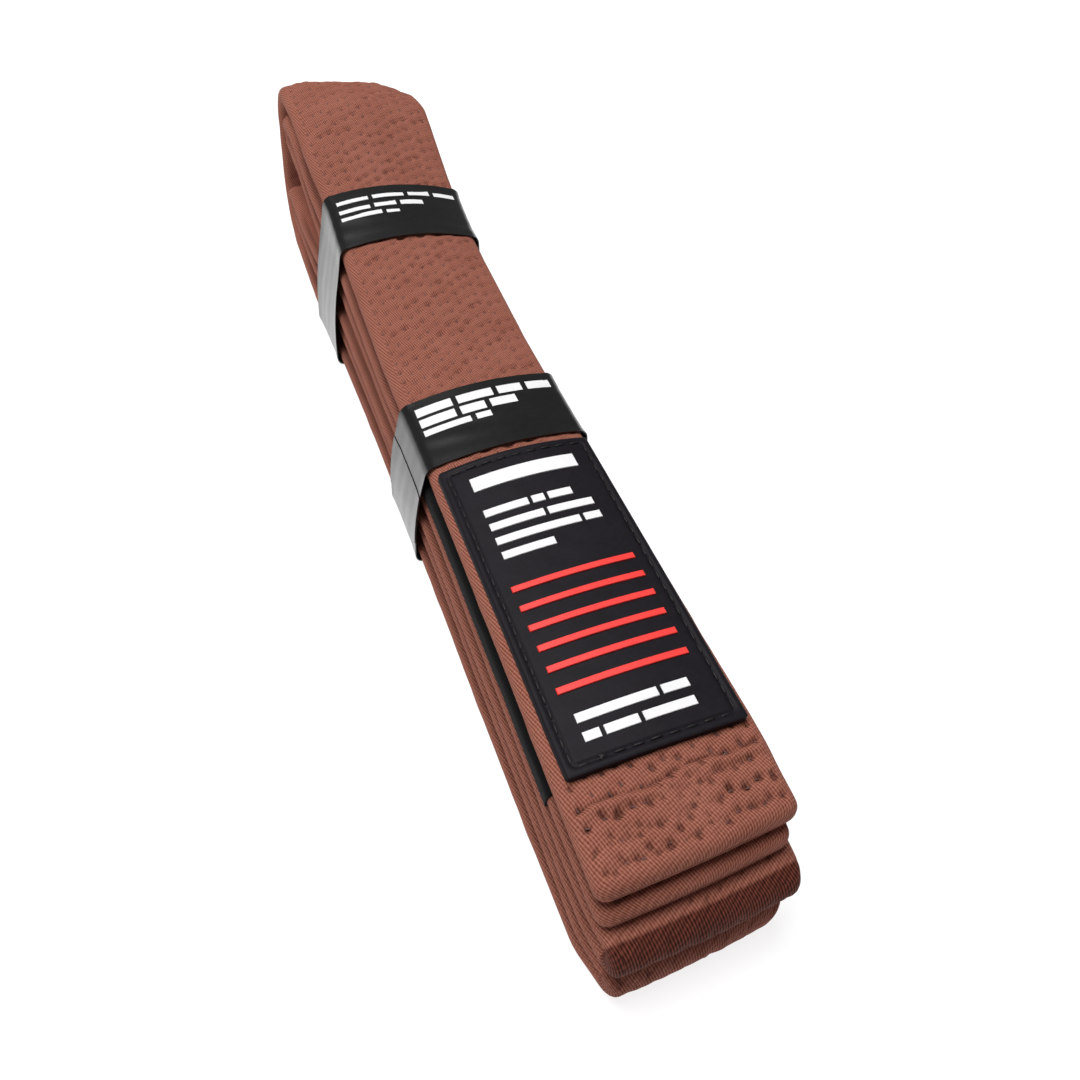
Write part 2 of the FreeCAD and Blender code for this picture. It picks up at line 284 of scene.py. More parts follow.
def sampled_route(corners, step=0.25):
    """Points every step along a route of (y, z, radius, shift) with rounded corners."""
    points = []
    for i in range(1, len(corners) - 1):
        before, here, after = (np.array(corners[i + d][:2]) for d in (-1, 0, 1))
        radius = corners[i][2]
        heading = unit(here - before)
        leaving = unit(after - here)
        cross = heading[0] * leaving[1] - heading[1] * leaving[0]
        turn = math.atan2(cross, heading @ leaving)
        reach = radius * math.tan(abs(turn) / 2)
        start = here - heading * reach
        normal = np.array([-heading[1], heading[0]]) * math.copysign(1, turn)
        centre = start + normal * radius
        first = math.atan2(*(start - centre)[::-1])
        for share in np.linspace(0, 1, max(3, int(abs(turn) * radius / step))):
            angle = first + turn * share
            spot = centre + radius * np.array([math.cos(angle), math.sin(angle)])
            points.append((spot[0], spot[1], corners[i][3]))
    first, last = ((y, z, shift) for y, z, _, shift in (corners[0], corners[-1]))
    return np.array([first, *points, last])


class Line:
    """A smooth centre line that gives a place and a normal at any length along it."""

    def __init__(self, corners):
        points = sampled_route(corners)
        self.points = points[np.append(True, gaps(points[:, :2]) > 1e-6)]
        self.at = np.append(0, np.cumsum(gaps(self.points[:, :2])))
        self.length = self.at[-1]

    def place(self, s):
        """(y, z, shift) at lengths s."""
        return [np.interp(s, self.at, self.points[:, k]) for k in range(3)]

    def normal(self, s, reach=0.35):
        """Unit normals, to the left of the way along, at lengths s."""
        y0, z0, _ = self.place(s - reach)
        y1, z1, _ = self.place(s + reach)
        size = np.hypot(y1 - y0, z1 - z0)
        return -(z1 - z0) / size, (y1 - y0) / size

    def steps(self, fine, coarse=0.0, fine_where=lambda y, s: True):
        """Lengths along the line, finely spaced throughout or where fine_where(y, s) is true."""
        s = 0.0
        found = [s]
        while s < self.length - fine:
            s += fine if fine_where(self.place(s)[0], s) else coarse
            found.append(min(s, self.length))
        if self.length - found[-1] > 1e-6:
            found.append(self.length)
        return np.array(found)


def legs_between(leg, rearwards):
    """The bends of one leg from the flat front half to the looped end, or back."""
    bends = [(FLAT_END_Y, front_z[leg], 90.0, leg_shift[leg]),
             (BAND_BEND_Y, band_z[leg], 40.0, leg_shift[leg]),
             (REAR_BEND_Y, rear_z[leg], 30.0, leg_shift[leg])]
    return bends if rearwards else bends[::-1]


def inner_loop(leg, tight):
    """From the front half along a leg, round its loop, and back along the leg above."""
    loop = [(INNER_LOOP_Y, rear_z[k], REAR_PITCH * tight, leg_shift[k]) for k in (leg, leg + 1)]
    return legs_between(leg, True) + loop + legs_between(leg + 1, False)


def bundle_line():
    """Centre line of the folded strip, from under the front band round to there again."""
    tight = 0.47             # a fold's radius as a share of the gap between its legs
    rear_centre = REAR_Y - HALF_THICK
    lower_nose = FRONT_Y + HALF_THICK + LOWER_FOLD_SETBACK
    upper_nose = FRONT_Y + HALF_THICK
    swell_y = FRONT_Y + 20.0
    upper_height = FRONT_PITCH + 2 * UPPER_FOLD_SWELL
    low = front_z[2] - UPPER_FOLD_SWELL
    high = front_z[3] + UPPER_FOLD_SWELL
    route = [(SEAM_Y, front_z[5], 0, 0.0)]
    route += legs_between(5, True)
    route += [(rear_centre, rear_z[5], UPPER_LOOP_CORNER, 0.0),
              (rear_centre, rear_z[0], LOWER_LOOP_CORNER, 0.0)]
    route += [(20.0, front_z[0], 40.0, leg_shift[0]),
              (-95.0, front_z[0] + 0.01, 40.0, leg_shift[0])]
    route += [(lower_nose, front_z[leg], FRONT_PITCH * tight, 0.0) for leg in (0, 1)]
    route += inner_loop(1, tight)
    route += [(swell_y, front_z[2], 60.0, 0.0), (upper_nose, low, upper_height * tight, 0.3),
              (upper_nose, high, upper_height * tight, 0.3), (swell_y, front_z[3], 60.0, 0.0)]
    route += inner_loop(3, tight)
    route += [(SEAM_Y, front_z[4], 0, 0.0)]
    return Line(route)


def end_line(leg, tip_y):
    """Centre line of a loose end, from under the front band to its tip."""
    middle = (SEAM_Y + tip_y) / 2
    return Line([(SEAM_Y, front_z[leg], 0, 0.0), (middle, front_z[leg] + 0.001, 20.0, 0.0),
                 (tip_y, front_z[leg], 0, 0.0)])


# ------------ the woven strip
def section(half_width, half_thick, radius, across, under):
    """A rounded cross-section: (x, height, face) points and the way round to each.

    face is 1 on the upper face, -1 on the lower one and 0 on the edges."""
    x_flat = half_width - radius
    z_flat = half_thick - radius
    quarter = np.linspace(0, math.pi / 2, 5)
    edge = [(x_flat + radius * math.sin(a), z_flat + radius * math.cos(a), 0.0)
            for a in quarter[1:]]
    edge += [(x_flat + radius * math.cos(a), -z_flat - radius * math.sin(a), 0.0)
             for a in quarter[:-1]]
    points = [(x, half_thick, 1.0) for x in np.linspace(-x_flat, x_flat, across)] + edge
    points += [(x, -half_thick, -1.0) for x in np.linspace(x_flat, -x_flat, under)]
    points += [(-x, -z, 0.0) for x, z, _ in edge]
    around = np.append(0, np.cumsum(gaps(np.array(points + points[:1])[:, :2])))
    return np.array(points), around[:-1], around[-1]


def row_phase(row):
    return (row % 2) * STITCH_PITCH / 2 + 0.55 * np.sin(row * 2.4)


def row_wander(s, row):
    """How far a row of stitches strays sideways along the belt."""
    return 0.28 * np.sin(s * 0.11 + row * 1.9)


def stitch_depth(number, row):
    """How hard a stitch is pulled, from 0.3 to 1.5, uneven from stitch to stitch."""
    return 0.9 + 0.6 * np.sin(number * 2.7 + row * 4.1) * np.sin(number * 0.9 - row * 1.3)


def quilting(s, x, tight):
    """Height of a quilted face: a pit at each stitch and a pucker between stitches."""
    row = np.clip(np.round((x + HALF_WIDTH - ROW_MARGIN) / ROW_PITCH), 0, ROW_COUNT - 1)
    across = x - (row * ROW_PITCH + ROW_MARGIN - HALF_WIDTH) - row_wander(s, row)
    number = np.round((s - row_phase(row)) / STITCH_PITCH)
    along = s - row_phase(row) - number * STITCH_PITCH
    pull = stitch_depth(number, row) * (1 + TIGHT_PULL * tight)
    pit_width = PIT_WIDTH + (SOFT_PIT_WIDTH - PIT_WIDTH) * (1 - tight)
    pit = np.exp(-(along / PIT_LENGTH) ** 2 - ((across - 0.3 * along) / pit_width) ** 2)
    swell = np.cos(2 * math.pi * along / STITCH_PITCH) * np.cos(math.pi * across / ROW_PITCH)
    fade = np.clip((HALF_WIDTH - 1.3 - np.abs(x)) / 1.2, 0, 1)
    wander = 0.10 * (1 + TIGHT_PULL * tight) * ripple(s, x, 3.0)
    return (wander - (PIT_DEPTH * pit + PUCKER * swell) * pull) * fade


def hem_stitch(number, index):
    """Place across, distance from the tip and pull of one stitch of a hem row."""
    x = index * HEM_PITCH + number * 0.9 + 0.4 * np.sin(index * 3.1 + number)
    from_tip = HEM_ROWS[number] + 0.5 * np.sin(index * 2.3 + number * 1.7) + 0.03 * x
    return x, from_tip, 0.75 + 0.45 * np.sin(index * 1.9 + number * 2.6)


def hem_edge(from_tip, x):
    """Distance past the inner edge of the folded hem, which wanders a little."""
    return from_tip - HEM_FOLD - 0.5 * np.sin(x * 0.35) - 0.04 * x


def hem_relief(from_tip, x):
    """The ridge, crease, stitched grooves and stitch holes of a folded hem."""
    edge = hem_edge(from_tip, x)
    height = 0.30 * np.exp(-((edge + 1.0) / 0.7) ** 2) - 0.48 * np.exp(-((edge - 0.5) / 0.4) ** 2)
    for number in range(len(HEM_ROWS)):
        path = HEM_ROWS[number] + 0.35 * np.sin(x * 0.31 + number * 2.0) + 0.03 * x
        height = height - 0.20 * np.exp(-((from_tip - path) / 0.5) ** 2)
        centre_x, centre, pull = hem_stitch(number, np.round((x - number * 0.9) / HEM_PITCH))
        pit = np.exp(-((x - centre_x) / 0.55) ** 2 - ((from_tip - centre) / 0.42) ** 2)
        height = height - 0.50 * pull * pit
    crease = 0.07 * np.sin(from_tip * 1.5 + 0.8 * np.sin(x * 0.4)) * np.clip(1 - edge / 2, 0, 1)
    return height + crease * np.clip((HALF_WIDTH - 2 - np.abs(x)) / 3, 0, 1)


def shade_between_legs(y, z, rise, half_thick):
    """Painted shade on the strip's edges where they are shut between the legs above and below, 0 to
    1.
    """
    top = along_bundle(TOP_HEIGHTS, y)
    rim = np.clip((np.abs(rise) / half_thick - 0.40) / 0.5, 0, 1)
    along = ease((y - FRONT_Y - 5) / 8) * (1 - ease((y - 92) / 16))
    return 0.9 * rim * along * (z < top - 1.1 * half_thick)


def stretched_and_shaded(y, z, facing):
    """How far the weave is pulled open, with painted shade on the folds' front faces: fully on the
    upper front fold, less on the lower.
    """
    nose = ease((-118 - y) / 7) * (0.35 + 0.65 * ease((z - 11) / 4)) * (facing < -0.3)
    return nose * (z < 22.5)


def add_values(mesh, name, values):
    """A value for each point of a mesh, for its material."""
    attribute = mesh.attributes.new(name=name, type="FLOAT", domain="POINT")
    attribute.data.foreach_set("value", np.asarray(values).ravel().astype(np.float32))


def rounded_tip(from_tip, half_width):
    """The share of its width and of its thickness that a strip keeps towards its tip."""
    corner = np.clip(1 - from_tip / TIP_CORNER, 0, 1)
    width = 1 - TIP_CORNER * (1 - np.sqrt(1 - 0.995 * corner ** 2)) / half_width
    inside = np.clip(1 - from_tip / TIP_RADIUS, 0, 1)
    return width, np.clip(1 - inside ** 2.8, 0.002, 1) ** (1 / 2.8)


def with_hem(relief, from_tip, x):
    """The relief with the hem of a loose end in it, and how much higher the hem stands."""
    rounding = np.clip(from_tip / 2.0, 0, 1)
    relief = relief * np.clip((from_tip - 1.5) / 2.0, 0, 1) + hem_relief(from_tip, x) * rounding
    return relief, HEM_STEP * ease(0.5 - hem_edge(from_tip, x) / 0.9) * rounding


def swept(line, lengths, x, rise):
    """Points x across a line and rise above it, at each length along it."""
    y, z, shift = line.place(lengths[:, None])
    ny, nz = line.normal(lengths[:, None])
    return np.stack([x + shift, y + ny * rise, z + nz * rise], -1)


def strip(name, line, lengths, tip=False, quilted=None, across=112, under=36,
          half_width=HALF_WIDTH, half_thick=HALF_THICK, radius=EDGE_RADIUS, shown=(1, -1)):
    """A belt strip along a line. quilted(z) says how strongly each ring is quilted.

    Only the shown faces swell outwards; the others lie against the next leg."""
    points, around, perimeter = section(half_width, half_thick, radius, across, under)
    if tip:
        round_off = line.length - TIP_RADIUS * (1 - np.cos(np.linspace(0, math.pi / 2, 8)))[::-1]
        lengths = np.concatenate([lengths[lengths < round_off[0] - 0.2], round_off])
    x, rise, face = points.T[:, None, :]
    s = lengths[:, None]
    y, z, _ = line.place(s)
    from_tip = line.length - s
    width = thick = 1.0
    relief = np.zeros((len(lengths), len(points)))
    step = 0
    if quilted is not None:
        relief = quilting(s, x, tightness(y)) * quilted(z)
    if tip:
        width, thick = rounded_tip(from_tip, half_width)
        relief, step = with_hem(relief, from_tip, x)
    swollen = np.where(np.isin(face, shown), relief + step, np.minimum(relief, 0.03))
    rise = rise * thick + swollen * face
    waver = 1 + 0.004 * ripple(s, rise * 3, 5.0)
    grid = swept(line, lengths, x * width * waver, rise)
    faces = ring_faces(len(lengths), len(points))
    obj = make_object(name, grid.reshape(-1, 3), faces, ring_uvs(lengths, around, perimeter))
    # The opened weave and painted shade on the front faces of the folds
    facing = line.normal(s)[0]
    add_values(obj.data, STRETCH_AND_SHADE, stretched_and_shaded(grid[..., 1], grid[..., 2], facing))
    # Painted shade in stitch holes and creases, full near the tips
    painted_shade = np.where(face == 0, 0, np.clip((-relief - 0.16) / 0.45, 0, 1))
    painted_shade = painted_shade * (SLACK_PIT_SHADE + (1 - SLACK_PIT_SHADE) * tightness(grid[..., 1]))
    # Painted shade along the edges pressed between the legs
    edge_shade = np.where(face == 0, shade_between_legs(grid[..., 1], grid[..., 2], rise, half_thick), 0)
    add_values(obj.data, PAINTED_SHADE, np.maximum(painted_shade, edge_shade))
    return obj


# ------------ small raised pieces
class Builder:
    """Collects the points and faces of many small closed solids for one object."""

    def __init__(self):
        self.points = []
        self.faces = []
        self.count = 0

    def add(self, points, faces):
        self.points.append(np.asarray(points, float))
        self.faces += [tuple(i + self.count for i in face) for face in faces]
        self.count += len(points)

    def build(self, name, smooth=True):
        return make_object(name, np.vstack(self.points), self.faces, smooth=smooth)


def bar_solid(x_span, y_span, low, high, bevel, surface=0.0, step=1.2):
    """A bar with bevelled top edges, standing on a level surface."""
    x0, x1 = x_span
    y0, y1 = y_span
    inner = np.arange(x0 + bevel, x1 - bevel, step)
    xs = np.concatenate([[x0, x0 + bevel * 0.3], inner, [x1 - bevel, x1 - bevel * 0.3, x1]])
    drop = np.zeros(len(xs))
    drop[[0, -1]] = bevel
    drop[[1, -2]] = bevel * 0.35
    points = []
    for x, fall in zip(xs, drop):
        top = high - fall
        profile = [(y0, low), (y0, top - bevel), (y0 + bevel * 0.3, top - bevel * 0.3),
                   (y0 + bevel, top), (y1 - bevel, top), (y1 - bevel * 0.3, top - bevel * 0.3),
                   (y1, top - bevel), (y1, low)]
        points += [(x, y, surface + z) for y, z in profile]
    return np.array(points), ring_faces(len(xs), 8)


def capsule(centre, along, side, up, length, radius, flat=0.8):
    """A short thread lying along a direction, rounded at both ends."""
    around = np.linspace(0, 2 * math.pi, 9)[:-1]
    points = []
    for t in (-1, -0.86, -0.5, 0, 0.5, 0.86, 1):
        size = radius * math.sqrt(max(0.02, 1 - abs(t) ** 3))
        bow = 0.12 * radius * (1 - t * t)
        for a in around:
            points.append(centre + along * (t * length / 2) + side * (size * math.cos(a))
                          + up * (size * flat * math.sin(a) + bow))
    return np.array(points), ring_faces(7, 8)


X_AXIS = np.array([1.0, 0, 0])
Y_AXIS = np.array([0, 1.0, 0])
Z_AXIS = np.array([0, 0, 1.0])


def turned(angle, rise=0.0):
    """Directions along and across a thread that lies turned by an angle."""
    along = np.array([math.cos(angle), math.sin(angle), rise])
    return along, np.array([-math.sin(angle), math.cos(angle), 0])


# ------------ materials
def new_material(name):
    material = bpy.data.materials.new(name)
    material.use_nodes = True
    tree = material.node_tree
    return material, tree, tree.nodes["Principled BSDF"]


def set_values(node, **values):
    """Sets a node's own properties, and its sockets by name with _ for a space."""
    for key, value in values.items():
        if hasattr(node, key):
            setattr(node, key, value)
        else:
            node.inputs[key.replace("_", " ")].default_value = value


def add_node(tree, kind, **values):
    node = tree.nodes.new(kind)
    set_values(node, **values)
    return node


def ramp(tree, factor, stops):
    """A colour ramp over factor with (position, colour) stops."""
    node = tree.nodes.new("ShaderNodeValToRGB")
    elements = node.color_ramp.elements
    while len(elements) < len(stops):
        elements.new(0.5)
    for element, (position, colour) in zip(elements, stops):
        element.position = position
        element.color = (*colour, 1)
    tree.links.new(factor, node.inputs["Fac"])
    return node.outputs["Color"]


def math_node(tree, operation, a, b):
    node = add_node(tree, "ShaderNodeMath", operation=operation)
    for socket, value in zip(node.inputs, (a, b)):
        if isinstance(value, (int, float)):
            socket.default_value = value
        else:
            tree.links.new(value, socket)
    return node.outputs[0]


def weighted_sum(tree, *terms):
    """The sum of (value, weight) terms."""
    total = None
    for value, weight in terms:
        part = math_node(tree, "MULTIPLY", value, weight)
        total = part if total is None else math_node(tree, "ADD", total, part)
    return total


def roughen(tree, shader, value, low, high):
    """Roughness from low to high as the value goes from 0 to 1."""
    node = add_node(tree, "ShaderNodeMapRange", To_Min=low, To_Max=high)
    tree.links.new(value, node.inputs["Value"])
    tree.links.new(node.outputs["Result"], shader.inputs["Roughness"])


def bump(tree, shader, height, distance):
    node = add_node(tree, "ShaderNodeBump", Distance=distance * MM, Strength=1.0)
    tree.links.new(height, node.inputs["Height"])
    tree.links.new(node.outputs["Normal"], shader.inputs["Normal"])


def noise(tree, vector, scale, detail, roughness):
    node = add_node(tree, "ShaderNodeTexNoise", Scale=scale, Detail=detail, Roughness=roughness)
    tree.links.new(vector, node.inputs["Vector"])
    return node.outputs["Fac"]


def stripes(tree, vector, angle, period, distortion):
    """Sine stripes, period apart in the vector's own units, turned by angle degrees."""
    turn = add_node(tree, "ShaderNodeMapping", Rotation=(0, 0, math.radians(angle)))
    tree.links.new(vector, turn.inputs["Vector"])
    wave = add_node(tree, "ShaderNodeTexWave", wave_type="BANDS", bands_direction="X",
                    Scale=2 * math.pi / (20 * period), Distortion=distortion, Detail=1.0,
                    Detail_Scale=1.2)
    tree.links.new(turn.outputs["Vector"], wave.inputs["Vector"])
    return wave.outputs["Fac"]


def point_value(tree, name):
    return add_node(tree, "ShaderNodeAttribute", attribute_name=name).outputs["Fac"]


def mix_colours(tree, factor, first, second):
    node = add_node(tree, "ShaderNodeMix", data_type="RGBA")
    tree.links.new(factor, node.inputs["Factor"])
    tree.links.new(first, node.inputs["A"])
    tree.links.new(second, node.inputs["B"])
    return node.outputs["Result"]


def shade(colour, share, cool=1.0):
    """A darker colour; cool scales its green and blue again."""
    red, green, blue = colour
    return red * share, green * share * cool, blue * share * cool


TWILL_LEAN = 70.0            # the twill lines run 20 degrees off the belt's length


def twill(name, dark, mid, light, period, depth, roughness, sheen):
    """Woven twill that follows the strip's own length and width."""
    material, tree, shader = new_material(name)
    uv = add_node(tree, "ShaderNodeUVMap", uv_map=UV).outputs["UV"]
    diagonal = stripes(tree, uv, -TWILL_LEAN, period, 0.9)
    yarn = stripes(tree, uv, 90 - TWILL_LEAN, period * 1.3, 1.2)
    fuzz = noise(tree, uv, 2.2, 4.0, 0.7)
    cloud = noise(tree, uv, 0.11, 4.0, 0.6)
    height = weighted_sum(tree, (diagonal, 0.40), (yarn, 0.14), (fuzz, 0.60))
    tone = weighted_sum(tree, (height, 1.0), (cloud, 0.24))
    colour = ramp(tree, tone, ((0.34, dark), (0.62, mid), (0.96, light)))
    # Deeper, redder tones where the weave opens, also used as painted shade on the folds' front
    # faces
    opened_and_shaded = ramp(tree, tone, ((0.38, shade(dark, 0.12, 0.8)), (0.64, shade(mid, 0.25, 0.8)),
                               (0.92, shade(mid, 0.76, 0.8))))
    colour = mix_colours(tree, point_value(tree, STRETCH_AND_SHADE), colour, opened_and_shaded)
    # Painted shade for stitch holes, creases and the edges pressed between legs
    shaded = ramp(tree, tone, ((0.34, shade(dark, 0.16)), (0.90, shade(mid, 0.36))))
    painted_shade_mix = math_node(tree, "MULTIPLY", point_value(tree, PAINTED_SHADE), 0.72)
    tree.links.new(mix_colours(tree, painted_shade_mix, colour, shaded), shader.inputs["Base Color"])
    roughen(tree, shader, height, roughness, roughness - 0.14)
    set_values(shader, Sheen_Weight=sheen, Sheen_Roughness=0.45, Sheen_Tint=(*light, 1),
               Specular_IOR_Level=0.12)
    bump(tree, shader, height, depth)
    return material


def grained(name, dark, light, roughness, spread, grain, depth, coat, gloss):
    """A smooth solid material with fine grain, cloudy tone and uneven gloss."""
    material, tree, shader = new_material(name)
    vector = tree.nodes.new("ShaderNodeTexCoord").outputs["Object"]
    fine = noise(tree, vector, grain, 3.0, 0.6)
    cloud = noise(tree, vector, 90.0, 4.0, 0.6)
    mix = weighted_sum(tree, (fine, 0.5), (cloud, 0.5))
    tree.links.new(ramp(tree, mix, ((0.32, dark), (0.68, light))), shader.inputs["Base Color"])
    roughen(tree, shader, mix, roughness - spread, roughness + spread)
    set_values(shader, Coat_Weight=coat, Coat_Roughness=0.25, Specular_IOR_Level=gloss)
    bump(tree, shader, fine, depth)
    return material


# (name, dark, middle and light tone, period and depth of the weave, roughness, sheen)
TWILLS = (
    ("brown_twill", (0.125, 0.035, 0.020), (0.252, 0.082, 0.053), (0.41, 0.165, 0.120),
     0.56, 0.16, 0.90, 0.10),
    ("black_cotton", (0.002, 0.002, 0.002), (0.005, 0.005, 0.006), (0.011, 0.010, 0.011),
     0.5, 0.10, 0.90, 0.0))
# (name, dark and light tone, roughness and its spread, grain and its depth, coat, gloss)
GRAINS = (
    ("core_cotton", (0.55, 0.50, 0.42), (0.78, 0.74, 0.66), 0.92, 0.05, 1400, 0.25, 0, 0.3),
    # brown_thread: the thread's own brown, made darker as painted shade for the pits it lies in
    ("brown_thread", (0.075, 0.032, 0.027), (0.19, 0.088, 0.075), 0.7, 0.1, 3000, 0.05, 0, 0.3),
    ("black_thread", (0.003, 0.003, 0.004), (0.009, 0.009, 0.010), 0.5, 0.08, 3000, 0.05, 0, 0.3),
    ("patch_rubber", (0.007, 0.006, 0.008), (0.013, 0.011, 0.015), 0.52, 0.08, 900, 0.03, 0, 0.1),
    ("red_rubber", (0.86, 0.040, 0.036), (0.96, 0.058, 0.050), 0.48, 0.06, 900, 0.02, 0, 0.3),
    ("white_rubber", (0.82, 0.82, 0.83), (0.92, 0.92, 0.92), 0.5, 0.06, 900, 0.02, 0, 0.3),
    ("black_paper", (0.004, 0.004, 0.004), (0.008, 0.008, 0.008),
     0.24, 0.05, 700, 0.02, 0.35, 0.35),
    ("white_ink", (0.80, 0.80, 0.81), (0.90, 0.90, 0.90), 0.4, 0.05, 900, 0.01, 0, 0.3),
    ("glue", (0.55, 0.52, 0.42), (0.72, 0.70, 0.60), 0.35, 0.08, 600, 0.02, 0, 0.3))

materials = {row[0]: twill(*row) for row in TWILLS}
materials.update((row[0], grained(*row)) for row in GRAINS)


def finish_piece(obj, slot, nodes, body, bends=False):
    """A piece's material and slot, the CAD nodes that it stands for, and its body.

    One that bends is left unattached to its body, with its placing baked into its points."""
    obj.data.materials.append(materials[slot])
    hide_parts(*nodes)
    if bends:
        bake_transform(obj)
    else:
        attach(obj, body)


# ------------ the belt
def quilted_on_show(z):
    """Quilting is full on the top leg, and slighter on the tight folds and hidden legs."""
    return np.where(z > front_z[PATCH_LEG] - 1.0, 1.0, 0.55)


def make_quilting_stitches(prefix, line, face, end, body, bends=False):
    """Short threads at the bottom of the pits on one face of a strip."""
    builder = Builder()
    for row in range(ROW_COUNT):
        phase = row_phase(row)
        first = math.ceil(-phase / STITCH_PITCH)
        for number in range(first, math.ceil((end - phase) / STITCH_PITCH)):
            s = phase + number * STITCH_PITCH
            x = row * ROW_PITCH + ROW_MARGIN - HALF_WIDTH + row_wander(s, row)
            y, z, shift = line.place(s)
            ny, nz = line.normal(s)
            up = np.array([0, ny, nz]) * face
            way = np.array([0, nz, -ny])
            deeper = 1 + TIGHT_PULL * tightness(y)
            rise = HALF_THICK - PIT_DEPTH * deeper * stitch_depth(number, row) - 0.06
            along = way * 0.96 + X_AXIS * 0.28
            side = np.cross(up, along)
            centre = np.array([x + shift, y, z]) + up * rise
            builder.add(*capsule(centre, along, side, up, 1.3, 0.19))
    stitches = builder.build(prefix + "_quilting_stitches")
    finish_piece(stitches, "brown_thread", [prefix + "_quilting_thread"], body, bends)


def make_belt():
    line = bundle_line()
    top_leg = REAR_Y - SEAM_Y

    def fine(y, s):
        return s < top_leg or y < FRONT_Y + 7.0 or y > INNER_LOOP_Y

    lengths = line.steps(0.38, 1.5, fine)
    belt = strip("belt_strip", line, lengths, quilted=quilted_on_show)
    finish_piece(belt, "brown_twill", ["belt_cover"], "root")
    make_quilting_stitches("belt", line, 1, top_leg + 4.0, "root")
    make_core("belt", line, "root")


PLY_THICK = 0.86
PLY_PITCH = 0.93
PLY_HALF_WIDTH = 18.6


def make_core(prefix, line, body):
    """Three cotton plies inside a strip, as one object."""
    builder = Builder()
    lengths = line.steps(1.0, 4.0, lambda y, s: y < FRONT_Y + 9.0 or y > REAR_BEND_Y)
    lengths = lengths[(lengths > 0.5) & (lengths < line.length - 3.0)]
    spots = np.linspace(-PLY_HALF_WIDTH, PLY_HALF_WIDTH, 9)
    x = np.append(spots, spots[::-1])[None, :]
    face = np.repeat([-1.0, 1.0], len(spots))[None, :]
    for centre in (-PLY_PITCH, 0.0, PLY_PITCH):
        grid = swept(line, lengths, x, centre + face * PLY_THICK / 2)
        builder.add(grid.reshape(-1, 3), ring_faces(len(lengths), x.size))
    core = builder.build(prefix + "_core_plies", smooth=False)
    names = ["%s_core_ply_%d" % (prefix, number) for number in (1, 2, 3)]
    finish_piece(core, "core_cotton", names, body, bends=body != "root")


def make_hem_stitches(prefix, tip_y, top, body):
    """The threads that close a loose end's hem; top is the height of its face there."""
    builder = Builder()
    for number in range(len(HEM_ROWS)):
        for index in range(-(HEM_STITCHES // 2), HEM_STITCHES // 2 + 1):
            x, from_tip, pull = hem_stitch(number, index)
            if abs(x) > HALF_WIDTH - 2.4:
                continue
            along, side = turned(rng.uniform(-0.5, 0.5))
            centre = np.array([x, tip_y + from_tip, top - 0.46 * pull])
            builder.add(*capsule(centre, along, side, Z_AXIS, 1.1, 0.2))
    stitches = builder.build(prefix + "_hem_stitches")
    finish_piece(stitches, "brown_thread", [prefix + "_hem_stitching"], body)


def make_end(prefix, leg, tip_y, body):
    """One loose end: its cover, its core and its threads."""
    line = end_line(leg, tip_y)
    on_top = leg == PATCH_LEG
    # The line runs towards -Y, so the face on top is the one on its right
    end = strip(prefix + "_strip", line, line.steps(0.38), tip=True, quilted=np.ones_like,
                across=48, under=112, shown=(-1,) if on_top else ())
    finish_piece(end, "brown_twill", [prefix + "_cover"], body, bends=True)
    make_core(prefix, line, body)
    make_quilting_stitches(prefix, line, -1, line.length - HEM_ROWS[-1], body, bends=True)
    hem_rise = 0.24 if on_top else -0.12
    make_hem_stitches(prefix, tip_y, front_z[leg] + HALF_THICK + hem_rise, body)


# ------------ the patch
PATCH_HALF_X = (patch_high[0] - patch_low[0]) / 2
PATCH_HALF_Y = (patch_high[1] - patch_low[1]) / 2
PATCH_MIDDLE = (patch_low[1] + patch_high[1]) / 2
PATCH_CORNER = 0.8
GROOVE_INSET = 1.7
GROOVE_WIDTH = 0.36
GROOVE_DEPTH = 0.34
PATCH_STEP = 0.36


def rounded_distance(x, y, half_x, half_y, radius):
    """Signed distance to a rounded rectangle about the patch's centre."""
    qx = np.abs(x) - half_x + radius
    qy = np.abs(y) - half_y + radius
    outside = np.hypot(np.maximum(qx, 0), np.maximum(qy, 0))
    return outside + np.minimum(np.maximum(qx, qy), 0) - radius


def patch_spread(y):
    """The patch keeps its own width where the cloth under it is squeezed narrower."""
    return 1 + 0.93 * (HALF_WIDTH / along_bundle(TOP_HALF_WIDTHS, y) - 1)


def patch_outline():
    """A grid of points (x, y) about the patch's centre, with its corners drawn in round."""
    halves = np.array([PATCH_HALF_X, PATCH_HALF_Y])
    spans = [np.linspace(-half, half, int(2 * half / PATCH_STEP)) for half in halves]
    points = np.stack(np.meshgrid(*spans), -1)
    corners = np.sign(points) * (halves - PATCH_CORNER)
    offset = points - corners
    in_corner = np.all(np.abs(points) > np.abs(corners), axis=-1, keepdims=True)
    reach = np.maximum(np.linalg.norm(offset, axis=-1, keepdims=True), 1e-6)
    pull = np.abs(offset).max(axis=-1, keepdims=True) / reach
    return np.moveaxis(np.where(in_corner, corners + offset * pull, points), -1, 0)


